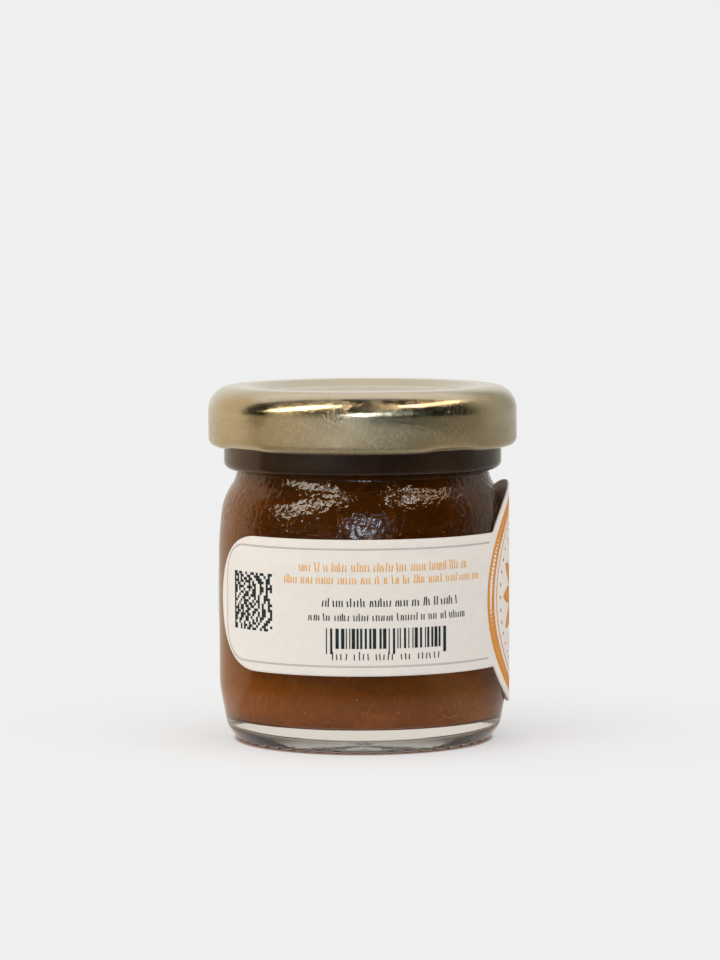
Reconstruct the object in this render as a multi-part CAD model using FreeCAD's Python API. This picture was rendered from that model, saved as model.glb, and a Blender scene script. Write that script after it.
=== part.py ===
"""Small glass conserve jar, shut with a twist-off lid and wrapped in a paper label.

Millimetres. The origin is the centre of the jar's foot, +Z is up, and -Y faces the
side where the label's left wing shows.

Sub-parts:
  jar_glass   pressed and blown glass, with foot knurls, neck bead and thread ridges
  conserve    the fruit conserve that fills the glass up to its level
  lid         tinplate twist-off lid, with a rolled curl and four lugs
  label       die-cut paper label, a strip with round ends and one large round
"""
import os
from math import asin, cos, degrees, pi, sin, sqrt, tan

import FreeCAD
import Part
from FreeCAD import Vector

Vector2d = FreeCAD.Base.Vector2d

# ---- Driving dimensions -------------------------------------------------------------
# Finish: the bead, the bore and the thread ridges that the lid fits
bead_radius = 20.75
bead_height = 4.0
bead_rise = 0.7
bead_step = 0.55
finish_height = 12.5
finish_wall = 2.6
thread_count = 4
thread_reach = 1.1
thread_height = 0.9
thread_slope_height = 0.4
thread_span_deg = 60.0

# Body, shoulder and neck
body_overhang = 0.85
body_wall = 2.9
straight_height = 21.8
shoulder_curve_height = 5.2
shoulder_curve_inset = 0.54
shoulder_slope_height = 3.85
neck_slope_height = 1.2
neck_slope_width = 0.23
neck_groove = 1.93
neck_wall = 2.3

# Foot and floor
foot_inset = 1.5
foot_ring_width = 1.6
push_up_height = 0.9
push_up_edge = 0.45
heel_inset = 1.1
heel_z = 2.3
heel_top_z = 8.2
floor_z = 3.7
floor_dome = 0.35
floor_draft = 0.35
knurl_count = 45
knurl_radius = 1.1
knurl_depth = 0.4

# Roundings of the glass
push_up_round = 0.6
foot_round = 1.6
heel_round = 2.5
heel_top_round = 12.0
straight_round = 40.0
shoulder_round = 5.0
neck_slope_round = 1.5
neck_round = 0.25
bead_round = 1.2
bead_top_round = 0.3
thread_round = 0.2
rim_outer_round = 0.9
rim_inner_round = 0.7
floor_round = 2.5
inner_heel_round = 30.0
inner_shoulder_round = 20.0
inner_neck_round = 2.0

# Conserve
headspace = 6.2

# Lid
sheet = 0.25
lid_shoulder_round = 3.5
panel_depth = 1.0
recess_clearance = 0.2
recess_slope = 3.2
recess_round = 3.0
curl_clearance = 0.4
curl_width = 1.9
curl_height = 1.95
curl_outer_round = 1.25
curl_inner_round = 0.6
curl_seam_round = 0.1
lug_angle_deg = 37.0
lug_span_deg = 26.0
lug_height = 0.9
lug_round = 0.3
lug_finish_gap = 0.3
lug_bead_gap = 0.35
lug_thread_gap = 0.05
lug_above_curl = 0.2
dent_depth = 1.0
dent_lift = 0.28

# Label, laid out flat
paper = 0.28
strip_height = 19.86
tip_gap = 8.2
round_radius = 16.7
round_angle_deg = 97.0
label_lift = 2.7

# ---- Places worked out from the driving dimensions ----------------------------------
# Radii of the glass
finish_radius = bead_radius - bead_step
bore_radius = finish_radius - finish_wall
neck_radius = bead_radius - neck_groove
neck_slope_radius = neck_radius + neck_slope_width
neck_bore_radius = neck_radius - neck_wall
body_radius = bead_radius + body_overhang
inner_radius = body_radius - body_wall
bend_radius = body_radius - shoulder_curve_inset
heel_radius = body_radius - heel_inset
foot_radius = heel_radius - foot_inset
foot_ring_radius = foot_radius - foot_ring_width

# Heights of the glass
shoulder_z = heel_top_z + straight_height
bend_z = shoulder_z + shoulder_curve_height
neck_slope_z = bend_z + shoulder_slope_height
neck_z = neck_slope_z + neck_slope_height
bead_low_z = neck_z + bead_rise
bead_top_z = bead_low_z + bead_height
rim_z = neck_z + finish_height
fill_z = rim_z - headspace

# Lid
lug_low_z = bead_top_z + lug_bead_gap
lug_top_z = lug_low_z + lug_height
thread_low_z = lug_top_z + lug_thread_gap
lug_radius = finish_radius + lug_finish_gap
curl_radius = bead_radius + curl_clearance
curl_top_z = lug_top_z - lug_above_curl
lid_radius = curl_radius + curl_width
lid_edge_z = curl_top_z - curl_height
lid_top_z = rim_z + sheet
panel_z = lid_top_z - panel_depth
recess_radius = bore_radius - recess_clearance

# Label
label_radius = body_radius + paper
label_mid_z = (heel_top_z + shoulder_z) / 2 + label_lift

# How far a cutting or joining tool runs past what it works on
overrun = 1.0


# ---- Helpers ------------------------------------------------------------------------
shortest_edge = 1e-6


def rounded_profile(corners):
    """Closed wire in the XZ plane through (radius, height, rounding) corners."""
    count = len(corners)
    legs = []
    for i, (r, z, rounding) in enumerate(corners):
        r0, z0, _ = corners[i - 1]
        r1, z1, _ = corners[(i + 1) % count]
        here = Vector(r, 0, z)
        if not rounding:
            legs.append((here, here, here))
            continue
        back = (Vector(r0, 0, z0) - here).normalize()
        ahead = (Vector(r1, 0, z1) - here).normalize()
        half = back.getAngle(ahead) / 2
        bisector = (back + ahead).normalize()
        reach = rounding / tan(half)
        nearest = rounding / sin(half) - rounding
        legs.append((here + back * reach, here + bisector * nearest, here + ahead * reach))
    edges = []
    for i, (start, middle, end) in enumerate(legs):
        if (end - start).Length > shortest_edge:
            edges.append(Part.Arc(start, middle, end).toShape())
        following = legs[(i + 1) % count][0]
        if (following - end).Length > shortest_edge:
            edges.append(Part.LineSegment(end, following).toShape())
    return Part.Wire(edges)


def turned(corners, span_deg=360.0, start_deg=0.0):
    """Solid turned about Z from a profile, over a span that starts at an angle from +X."""
    face = Part.Face(rounded_profile(corners))
    solid = face.revolve(Vector(0, 0, 0), Vector(0, 0, 1), span_deg)
    solid.rotate(Vector(0, 0, 0), Vector(0, 0, 1), start_deg)
    return solid


def compass(angle_deg):
    """Angle from +X of a direction given as degrees from -Y towards +X."""
    return angle_deg - 90.0


def lug_angles():
    return [lug_angle_deg + k * 360.0 / thread_count for k in range(thread_count)]


# ---- Glass --------------------------------------------------------------------------
def cavity_corners(top_z):
    """Inside of the glass, from the axis at the floor up to a flat at top_z."""
    share = (top_z - neck_slope_z) / (rim_z - neck_slope_z)
    top_radius = neck_bore_radius + share * (bore_radius - neck_bore_radius)
    return [
        (0, floor_z + floor_dome, 0),
        (inner_radius - floor_draft, floor_z, floor_round),
        (inner_radius, floor_z + heel_top_z, inner_heel_round),
        (inner_radius, shoulder_z, inner_shoulder_round),
        (bend_radius - body_wall, bend_z, shoulder_round),
        (neck_bore_radius, neck_slope_z, inner_neck_round),
        (top_radius, top_z, 0),
        (0, top_z, 0),
    ]


def glass_corners():
    """Outside of the glass, from the axis under the foot round to the rim's plane."""
    return [
        (0, push_up_height, 0),
        (foot_ring_radius - push_up_edge, push_up_edge, push_up_round),
        (foot_ring_radius, 0, 0),
        (foot_radius, 0, foot_round),
        (heel_radius, heel_z, heel_round),
        (body_radius, heel_top_z, heel_top_round),
        (body_radius, shoulder_z, straight_round),
        (bend_radius, bend_z, shoulder_round),
        (neck_slope_radius, neck_slope_z, neck_slope_round),
        (neck_radius, neck_z, neck_round),
        (bead_radius, bead_low_z, bead_round),
        (bead_radius, bead_top_z, bead_top_round),
        (finish_radius, bead_top_z + lug_bead_gap / 2, 0),
        (finish_radius, rim_z, rim_outer_round),
        (bore_radius, rim_z, rim_inner_round),
        (bore_radius - overrun, rim_z - finish_wall, 0),
        (0, rim_z - finish_wall, 0),
    ]


def thread_ridges():
    """Short ridges round the finish that the lid's lugs hook under."""
    root = finish_radius - finish_wall / 4
    crest = finish_radius + thread_reach
    crest_top_z = thread_low_z + thread_height - thread_slope_height
    section = [
        (root, thread_low_z, 0),
        (crest, thread_low_z, thread_round),
        (crest, crest_top_z, thread_round),
        (root, thread_low_z + thread_height + thread_slope_height, 0),
    ]
    half = thread_span_deg / 2
    return [turned(section, thread_span_deg, compass(at - half)) for at in lug_angles()]


def foot_knurls():
    """Shallow radial scoops across the foot ring."""
    scoops = []
    length = foot_ring_width + 2 * overrun
    for k in range(knurl_count):
        angle = 2 * pi * k / knurl_count
        outward = Vector(cos(angle), sin(angle), 0)
        start = outward * (foot_ring_radius - overrun) - Vector(0, 0, knurl_radius - knurl_depth)
        scoops.append(Part.makeCylinder(knurl_radius, length, start, outward))
    return scoops


def jar_glass():
    glass = turned(glass_corners())
    glass = glass.cut(turned(cavity_corners(rim_z + overrun)))
    glass = glass.fuse(thread_ridges())
    glass = glass.cut(foot_knurls())
    return glass.Solids[0]


# ---- Conserve -----------------------------------------------------------------------
def conserve():
    """All of the cavity up to the fill level, face to face with the glass."""
    return turned(cavity_corners(fill_z))


# ---- Lid ----------------------------------------------------------------------------
def lid_corners():
    """Section of the lid: panel, recess, raised ring, skirt and rolled curl."""
    skirt_inside = lid_radius - sheet
    recess_foot = recess_radius - recess_slope
    return [
        (0, panel_z, 0),
        (recess_foot, panel_z, recess_round),
        (recess_radius, lid_top_z, recess_round),
        (lid_radius, lid_top_z, lid_shoulder_round),
        (lid_radius, lid_edge_z, curl_outer_round),
        (curl_radius, lid_edge_z, curl_inner_round),
        (curl_radius, curl_top_z, curl_inner_round),
        (skirt_inside, curl_top_z, curl_seam_round),
        (skirt_inside, rim_z, lid_shoulder_round - sheet),
        (recess_radius + sheet, rim_z, recess_round - sheet),
        (recess_foot + sheet, panel_z - sheet, recess_round),
        (0, panel_z - sheet, 0),
    ]


def lug_section():
    """Hook on the inside of the curl that reaches in under a thread ridge."""
    root = curl_radius + curl_inner_round
    return [
        (lug_radius, lug_low_z, lug_round),
        (root, lug_low_z, 0),
        (root, lug_top_z, 0),
        (lug_radius, lug_top_z, lug_round),
    ]


def dent_section():
    """What the press that makes a lug takes off the curl's lower outer corner."""
    outside = lid_radius + overrun
    below_z = lid_edge_z - overrun
    dent_top_z = curl_top_z + sheet / 2
    return [
        (curl_radius - overrun, below_z, 0),
        (outside, below_z, 0),
        (outside, dent_top_z, 0),
        (lid_radius, dent_top_z, 0),
        (lid_radius - dent_depth, lid_edge_z + dent_lift, 0),
        (curl_radius - overrun, lid_edge_z + dent_lift, 0),
    ]


def lid():
    half = lug_span_deg / 2
    starts = [compass(at - half) for at in lug_angles()]
    shell = turned(lid_corners())
    shell = shell.fuse([turned(lug_section(), lug_span_deg, at) for at in starts])
    shell = shell.cut([turned(dent_section(), lug_span_deg, at) for at in starts])
    return shell.Solids[0]


# ---- Label --------------------------------------------------------------------------
def label_outline():
    """Outline of the paper laid flat: 2D pieces in (angle, height), anticlockwise.

    The angle starts in the middle of the gap between the strip's two tips.
    """
    around = 2 * pi * label_radius
    strip_end = strip_height / 2
    end_centre = (around - tip_gap) / 2 - strip_end
    corner = sqrt(round_radius**2 - strip_end**2)
    low_z = label_mid_z - strip_end
    high_z = label_mid_z + strip_end

    def flat(along, height):
        return Vector2d((around / 2 + along) / label_radius, height)

    def line(start, end):
        return Part.Geom2d.Line2dSegment(start, end)

    def bend(centre, radius, from_deg, to_deg):
        """Part of a circle on the paper, which is an ellipse in (angle, height)."""
        ellipse = Part.Geom2d.Ellipse2d(
            flat(centre, label_mid_z + radius),
            flat(centre + radius, label_mid_z),
            flat(centre, label_mid_z),
        )

        def point(at_deg):
            turn = at_deg * pi / 180
            return flat(centre + radius * cos(turn), label_mid_z + radius * sin(turn))

        start = ellipse.parameter(point(from_deg))
        middle = ellipse.parameter(point((from_deg + to_deg) / 2))
        end = ellipse.parameter(point(to_deg))
        if (middle - start) % (2 * pi) < (end - start) % (2 * pi):
            return Part.Geom2d.ArcOfEllipse2d(ellipse, start, end)
        return Part.Geom2d.ArcOfEllipse2d(ellipse, end, start)

    rise = degrees(asin(strip_end / round_radius))
    return [
        line(flat(-end_centre, low_z), flat(-corner, low_z)),
        bend(0, round_radius, 180 + rise, 360 - rise),
        line(flat(corner, low_z), flat(end_centre, low_z)),
        bend(end_centre, strip_end, -90, 90),
        line(flat(end_centre, high_z), flat(corner, high_z)),
        bend(0, round_radius, rise, 180 - rise),
        line(flat(-corner, high_z), flat(-end_centre, high_z)),
        bend(-end_centre, strip_end, 90, 270),
    ]


def label():
    outline = label_outline()
    skins = []
    rims = []
    for radius in (body_radius, label_radius):
        cylinder = Part.Cylinder()
        cylinder.Radius = radius
        rim = [piece.toShape(cylinder) for piece in outline]
        wire = Part.Wire(Part.__sortEdges__(rim))
        skin = Part.Face(cylinder, wire)
        skin.validate()
        skins.append(skin)
        rims.append(rim)
    sides = [Part.makeRuledSurface(a, b) for a, b in zip(*rims)]
    shell = Part.makeShell(skins + sides)
    shell.sewShape()
    solid = Part.makeSolid(shell)
    solid.rotate(Vector(0, 0, 0), Vector(0, 0, 1), compass(round_angle_deg) - 180.0)
    return solid


# ---- Build --------------------------------------------------------------------------
def main():
    os.makedirs("parts", exist_ok=True)
    parts = {
        "jar_glass": jar_glass(),
        "conserve": conserve(),
        "lid": lid(),
        "label": label(),
    }
    for name, shape in parts.items():
        shape.exportStep(f"parts/{name}.step")
        box = shape.BoundBox
        print(
            f"{name:10s} {shape.ShapeType} valid={shape.isValid()} "
            f"solids={len(shape.Solids)} faces={len(shape.Faces)} "
            f"volume={shape.Volume:.1f} mm3 "
            f"z {box.ZMin:.2f}..{box.ZMax:.2f} x {box.XMin:.2f}..{box.XMax:.2f}"
        )


main()
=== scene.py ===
# %% [markdown]
# # A small conserve jar with a gold lid
# A 45 ml glass jar holds a dark fruit conserve under a gold twist-off lid, and a paper
# label goes nearly all the way round it. Optics make this object: thick clear glass
# over dark jelly, and a metal lid that is little more than its reflections.
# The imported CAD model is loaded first, as the frame that every size here comes from.

import random
from math import acos, atan2, cos, hypot, pi, radians, sin, sqrt, tan, tau

import bpy
import numpy as np
from mathutils import Matrix, Vector, noise


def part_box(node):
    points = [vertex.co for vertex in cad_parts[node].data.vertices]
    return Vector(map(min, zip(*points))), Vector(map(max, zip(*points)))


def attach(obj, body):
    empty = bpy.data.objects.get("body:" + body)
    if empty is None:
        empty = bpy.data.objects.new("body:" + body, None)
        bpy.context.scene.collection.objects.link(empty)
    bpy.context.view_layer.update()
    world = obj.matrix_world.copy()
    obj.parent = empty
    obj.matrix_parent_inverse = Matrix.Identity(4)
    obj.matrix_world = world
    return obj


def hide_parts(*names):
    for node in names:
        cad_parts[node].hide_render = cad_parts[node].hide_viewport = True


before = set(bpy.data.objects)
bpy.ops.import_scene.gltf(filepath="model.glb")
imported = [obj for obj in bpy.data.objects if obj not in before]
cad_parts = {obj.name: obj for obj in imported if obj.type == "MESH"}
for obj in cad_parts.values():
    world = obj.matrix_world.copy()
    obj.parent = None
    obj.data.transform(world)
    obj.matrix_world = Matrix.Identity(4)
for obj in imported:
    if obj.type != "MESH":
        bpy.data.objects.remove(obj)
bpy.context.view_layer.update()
MM = 0.001
glass_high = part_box("jar_glass")[1]
conserve_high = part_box("conserve")[1]
lid_low, lid_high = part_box("lid")
label_low, label_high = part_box("label")
print("frame:", ", ".join(sorted(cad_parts)))
print(f"jar: {2 * glass_high.x / MM:.1f} mm across the glass, {lid_high.z / MM:.1f} mm tall")

# %% [markdown]
# ## Helpers
# A few small helpers serve the whole script. `colour` turns a colour as a designer writes
# it, an sRGB hex value, into the linear light that a renderer adds up. `add` puts one
# shader node in a tree with its settings and links. `rounded` draws the section of a
# turned thing from its corners, as a pattern maker would, and `turned` spins it. The
# Screw modifier would spin it too, but here every ring of points stays in reach, so that
# a mould mark or a lug can move them.

# %% Colours and nodes
def colour(code):
    """Linear RGBA from an sRGB hex value."""
    parts = [int(code[i:i + 2], 16) / 255 for i in (1, 3, 5)]
    linear = [p / 12.92 if p <= 0.04045 else ((p + 0.055) / 1.055) ** 2.4 for p in parts]
    return (*linear, 1.0)


def add(tree, kind, *inputs, output=0, **settings):
    """One node of a kind, and the socket of one of its outputs.

    Inputs fill its open sockets in order. A setting goes to the node's own option of that
    name, or else to the socket of that name; any value may be another node's socket.
    """
    made = tree.nodes.new("ShaderNode" + kind)
    options = [name for name in settings if hasattr(made, name)]
    for name in options:
        setattr(made, name, settings[name])
    pairs = list(zip([socket for socket in made.inputs if socket.enabled], inputs))
    for name in settings:
        if name not in options:
            pairs.append((made.inputs[name.replace("_", " ")], settings[name]))
    for socket, value in pairs:
        if isinstance(value, bpy.types.NodeSocket):
            tree.links.new(value, socket)
        else:
            socket.default_value = value
    if isinstance(output, str):
        return made.outputs[output]
    return [socket for socket in made.outputs if socket.enabled][output]


def new_finish(name):
    """An empty material and its node tree."""
    made = bpy.data.materials.new(name)
    made.use_nodes = True
    made.node_tree.nodes.remove(made.node_tree.nodes["Principled BSDF"])
    return made, made.node_tree


def cover(tree, shader):
    """Makes a shader the surface of its material."""
    tree.links.new(shader, tree.nodes["Material Output"].inputs["Surface"])


# %% Sections
def rounded(corners, longest=0.6, turn=radians(9)):
    """Points in mm along (radius, height, rounding) corners, arcs in place of corners."""
    points = [np.array(corners[0][:2], float)]
    for before, here, after in zip(corners, corners[1:], corners[2:]):
        corner = np.array(here[:2], float)
        back = np.array(before[:2], float) - corner
        ahead = np.array(after[:2], float) - corner
        back /= hypot(*back)
        ahead /= hypot(*ahead)
        half = acos(np.clip(back @ ahead, -1, 1)) / 2
        if not here[2]:
            points.append(corner)
            continue
        centre = corner + (back + ahead) / hypot(*(back + ahead)) * here[2] / sin(half)
        start = corner + back * here[2] / tan(half) - centre
        end = corner + ahead * here[2] / tan(half) - centre
        sweep = atan2(start[0] * end[1] - start[1] * end[0], start @ end)
        steps = max(2, round(abs(sweep) / turn), round(abs(sweep) * here[2] / longest))
        for k in range(steps + 1):
            at = sweep * k / steps
            turned_start = (
                start[0] * cos(at) - start[1] * sin(at),
                start[0] * sin(at) + start[1] * cos(at),
            )
            points.append(centre + turned_start)
    points.append(np.array(corners[-1][:2], float))
    return subdivided(points, longest)


def subdivided(points, longest):
    """The same path with no step over longest."""
    path = [points[0]]
    for a, b in zip(points, points[1:]):
        steps = max(1, round(hypot(*(b - a)) / longest))
        if hypot(*(b - a)) > 1e-4:
            path.extend(a + (b - a) * k / steps for k in range(1, steps + 1))
    return np.array(path)


# %% Pieces and turned meshes
def piece(name, vertices, faces, finishes, slot_name):
    """A smooth mesh in millimetres as an object that rides on the jar."""
    mesh = bpy.data.meshes.new(name)
    mesh.from_pydata([Vector(v) * MM for v in vertices], [], faces)
    mesh.shade_smooth()
    for finish in finishes:
        mesh.materials.append(finish)
    made = bpy.data.objects.new(name, mesh)
    bpy.context.scene.collection.objects.link(made)
    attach(made, "root")
    print(f"{name}: {len(mesh.polygons)} faces")
    return made


def turned(name, section, around, finishes, slot_name, reshape=None):
    """A section that starts and ends on the axis, spun about Z and then reshaped.

    reshape gets the angle from the front, the radius and the height of every point.
    """
    angle = np.arange(around)[:, None] * tau / around
    radius = np.repeat(section[None, 1:-1, 0], around, 0)
    height = np.repeat(section[None, 1:-1, 1], around, 0)
    if reshape:
        radius, height = reshape(np.repeat(angle, radius.shape[1], 1), radius, height)
    ring = radius.shape[1]
    points = np.stack([radius * np.sin(angle), -radius * np.cos(angle), height], 2)
    vertices = [*points.reshape(-1, 3), (0, 0, section[0, 1]), (0, 0, section[-1, 1])]
    faces = []
    for k in range(around):
        here = k * ring
        there = (k + 1) % around * ring
        faces.append((around * ring, there, here))
        faces.append((around * ring + 1, here + ring - 1, there + ring - 1))
        for i in range(ring - 1):
            faces.append((here + i, there + i, there + i + 1, here + i + 1))
    return piece(name, vertices, faces, finishes, slot_name)


# %% [markdown]
# ## Camera
# A long lens from a little above the lid, as for a product picture.
# The upright sides stay nearly parallel, and the lid's top shows as a thin ellipse.

# %% Camera
camera_back = 597.2
camera_height = 86.0
camera_pitch = radians(4.527)
camera_turn = radians(0.04)
camera_roll = radians(-0.234)

camera_data = bpy.data.cameras.new("camera")
camera_data.lens = 150
camera_data.sensor_width = 36
camera_data.clip_start = 0.01
camera = bpy.data.objects.new("camera", camera_data)
camera.matrix_world = (
    Matrix.Translation((0, -camera_back * MM, camera_height * MM))
    @ Matrix.Rotation(camera_turn, 4, "Z")
    @ Matrix.Rotation(pi / 2 - camera_pitch, 4, "X")
    @ Matrix.Rotation(camera_roll, 4, "Z")
)
bpy.context.scene.collection.objects.link(camera)
bpy.context.scene.camera = camera
bpy.context.scene.view_settings.view_transform = "Standard"
print(f"camera: {camera_back:.0f} mm back and {camera_height:.0f} mm up, {camera_data.lens:.0f} mm lens")

# %% [markdown]
# ## Studio
# A pale sweep behind, two large softboxes above and a window in front, in a dim cool
# room. Metal and glass show what surrounds them, so for reflected and refracted rays the
# world holds that room as a panorama: its colours by azimuth, then the lamps' faces. An
# environment picture could hold the same room, but named colours are easier to move.
# Matt surfaces get even light from three soft lamps and a plain world, and the camera
# sees only the backdrop.

# %% Walls of the room
# Azimuth in degrees round from the front, positive to the right, and the colour there.
WALLS = [
    (-160, "#E0DCD2"), (-124, "#DCCBB0"), (-104, "#DCCFB6"), (-98, "#2A2D25"), (-72, "#2A2D25"),
    (-62, "#625B47"), (-36, "#625B47"), (-24, "#2C332E"), (15, "#262D27"), (30, "#141A16"),
    (84, "#1C211B"), (98, "#8A8678"), (112, "#B8B4A8"), (150, "#A09E94"), (168, "#D8D6D0"),
]
BEHIND = "#DFDBD1"


def azimuth_of(tree, way):
    """Degrees round from the front of the jar, positive towards +X."""
    x = add(tree, "SeparateXYZ", way, output="X")
    y = add(tree, "SeparateXYZ", way, output="Y")
    front = add(tree, "Math", y, -1.0, operation="MULTIPLY")
    return add(tree, "Math", add(tree, "Math", x, front, operation="ARCTAN2"), operation="DEGREES")


def panorama(tree, azimuth, stops):
    """Colour by azimuth, with the sweep's own colour straight behind."""
    place = add(tree, "Math", azimuth, 1 / 360, 0.5, operation="MULTIPLY_ADD")
    made = add(tree, "ValToRGB", place)
    elements = made.node.color_ramp.elements
    elements[0].color = colour(BEHIND)
    elements[1].color = colour(BEHIND)
    for towards, code in stops:
        elements.new(towards / 360 + 0.5).color = colour(code)
    return made


# %% Faces of the lamps
# Azimuth, rise, half width and half height in degrees, lean, softness; tint; radiance.
LAMP_FACES = {
    "left softbox": ((-50, 36, 11, 19, 1.1, 0.5), "#FFEFD8", 8.5),
    "right softbox": ((45, 46, 11, 4, -1.0, 0.5), "#FFEBD8", 11.0),
    "right softbox's far end": ((80, 47, 24, 5, -0.6, 0.6), "#FAD8B4", 4.5),
    "front window": ((4, 11, 16, 9, 0.8, 0.9), "#D0EAFA", 1.5),
    "window's brightest pane": ((-1, 10, 6, 4, 0.0, 0.5), "#EEF4FF", 15.0),
}
SQUARENESS = 4.0


def lamp_face(tree, azimuth, height, towards, rise, half_across, half_up, lean, soft):
    """1 on a lamp's rounded face, 0 off it.

    It leans aside by lean degrees for each degree up. Its edge is soft over a share of
    its size.
    """
    above = add(tree, "Math", height, rise, operation="SUBTRACT")
    aside = add(tree, "Math", azimuth, towards, operation="SUBTRACT")
    aside = add(tree, "Math", above, -lean, aside, operation="MULTIPLY_ADD")
    level = add(tree, "Math", add(tree, "Math", height, operation="RADIANS"), operation="COSINE")
    aside = add(tree, "Math", aside, level, operation="MULTIPLY")
    aside = add(tree, "Math", aside, cos(radians(rise)), operation="DIVIDE")
    total = 0.0
    for away, half in ((aside, half_across), (above, half_up)):
        share = add(tree, "Math", away, half, operation="DIVIDE")
        share = add(tree, "Math", share, operation="ABSOLUTE")
        share = add(tree, "Math", share, SQUARENESS, operation="POWER")
        total = add(tree, "Math", share, total, operation="ADD")
    return add(tree, "MapRange", total, 1 + soft, 1 - soft, 0.0, 1.0, interpolation_type="SMOOTHSTEP")


# %% Room
CEILING_FRONT = "#22261F"
CEILING_BACK = "#F4F5F6"
CEILING_RISE = (34.0, 50.0)
CEILING_TURN = (0.02, 0.16)

world = bpy.data.worlds.new("studio")
bpy.context.scene.world = world
world.use_nodes = True
sky = world.node_tree
way = add(sky, "TexCoord", output="Generated")
azimuth = azimuth_of(sky, way)
height = add(sky, "Math", add(sky, "SeparateXYZ", way, output="Z"), operation="ARCSINE")
height = add(sky, "Math", height, operation="DEGREES")
high = add(sky, "MapRange", height, *CEILING_RISE, interpolation_type="SMOOTHSTEP")
behind = add(sky, "SeparateXYZ", way, output="Y")
behind = add(sky, "MapRange", behind, *CEILING_TURN, interpolation_type="SMOOTHSTEP")
ceiling = add(sky, "Mix", behind, colour(CEILING_FRONT), colour(CEILING_BACK), data_type="RGBA")
room = add(sky, "Mix", high, panorama(sky, azimuth, WALLS), ceiling, data_type="RGBA")
for face, tint, radiance in LAMP_FACES.values():
    bright = add(sky, "Math", lamp_face(sky, azimuth, height, *face), radiance, operation="MULTIPLY")
    lit = add(sky, "VectorMath", colour(tint)[:3], Scale=bright, operation="SCALE")
    room = add(sky, "Mix", 1.0, room, lit, data_type="RGBA", blend_type="ADD")
print(f"room: {len(WALLS)} wall colours, {len(LAMP_FACES)} lamp faces")

# %% [markdown]
# ### What each kind of ray meets
# A ray that a surface mirrors meets the room. One that has crossed the glass meets the
# pale sweep, so that the clear foot looks pale. One that has crossed it and was also
# mirrored inside, as in the heavy foot, meets light and dark bands by height, which stand
# for the edges of the sweep and the table: that is where the foot gets its stacked bright
# and dark lines. Matt surfaces meet one plain level.

# %% World for each kind of ray
BACKDROP = 0.865
AMBIENT = 0.70
THROUGH_GLASS = "#DED7CC"
THROUGH_FOOT = [(3.0, "#5A5048"), (5.0, "#BAB6AC"), (6.8, "#3E3E3C"), (8.6, "#BCB8AE"), (14.0, "#6E6458")]
plain = (BACKDROP, BACKDROP, BACKDROP, 1.0)
ambient = (AMBIENT, AMBIENT, AMBIENT, 1.0)

mirrored = add(
    sky,
    "Math",
    add(sky, "LightPath", output="Is Glossy Ray"),
    add(sky, "LightPath", output="Is Transmission Ray"),
    operation="MAXIMUM",
)
direct = add(sky, "Math", add(sky, "LightPath", output="Diffuse Depth"), 0.5, operation="LESS_THAN")
mirrored = add(sky, "Math", mirrored, direct, operation="MULTIPLY")
crossed = add(sky, "Math", add(sky, "LightPath", output="Transmission Depth"), 0.5, operation="GREATER_THAN")
bounced = add(sky, "Math", add(sky, "LightPath", output="Glossy Depth"), 0.5, operation="GREATER_THAN")
bands = add(sky, "ValToRGB", add(sky, "Math", height, 1 / 90, operation="MULTIPLY"))
elements = bands.node.color_ramp.elements
for place, (rise, code) in enumerate(THROUGH_FOOT):
    stop = elements[place] if place < 2 else elements.new(rise / 90)
    stop.position = rise / 90
    stop.color = colour(code)
passed = add(sky, "Mix", bounced, colour(THROUGH_GLASS), bands, data_type="RGBA")
room = add(sky, "Mix", crossed, room, passed, data_type="RGBA")
seen = add(sky, "Mix", mirrored, ambient, room, data_type="RGBA")
seen = add(sky, "Mix", add(sky, "LightPath", output="Is Camera Ray"), seen, plain, data_type="RGBA")
sky.links.new(seen, sky.nodes["Background"].inputs["Color"])
world.cycles.sampling_method = "NONE"
print(f"world: backdrop {BACKDROP}, level for matt surfaces {AMBIENT}")


# %% Lamps
LAMPS_AIM_Z = 0.03


def softbox(name, towards, rise, distance, width, height, radiance, tint):
    """A soft rectangular lamp aimed at the jar, for matt surfaces only."""
    data = bpy.data.lights.new(name, "AREA")
    data.shape = "RECTANGLE"
    data.size = width
    data.size_y = height
    data.color = colour(tint)[:3]
    data.energy = radiance * pi * width * height
    lamp = bpy.data.objects.new(name, data)
    level = cos(radians(rise))
    where = Vector((sin(radians(towards)) * level, -cos(radians(towards)) * level, sin(radians(rise))))
    lamp.location = where * distance + Vector((0, 0, LAMPS_AIM_Z))
    lamp.rotation_euler = where.to_track_quat("Z", "Y").to_euler()
    lamp.visible_camera = False
    lamp.visible_glossy = False
    lamp.visible_transmission = False
    bpy.context.scene.collection.objects.link(lamp)
    print(f"{name}: {data.energy:.1f} W at {distance} m")


softbox("key_left", -52, 38, 0.9, 0.52, 0.62, 2.35, "#FFF8F0")
softbox("rim_left", -105, 24, 0.9, 0.40, 0.40, 2.0, "#FFEFD8")
softbox("key_right", 50, 46, 0.9, 0.72, 0.30, 1.7, "#FFF6EE")
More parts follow.
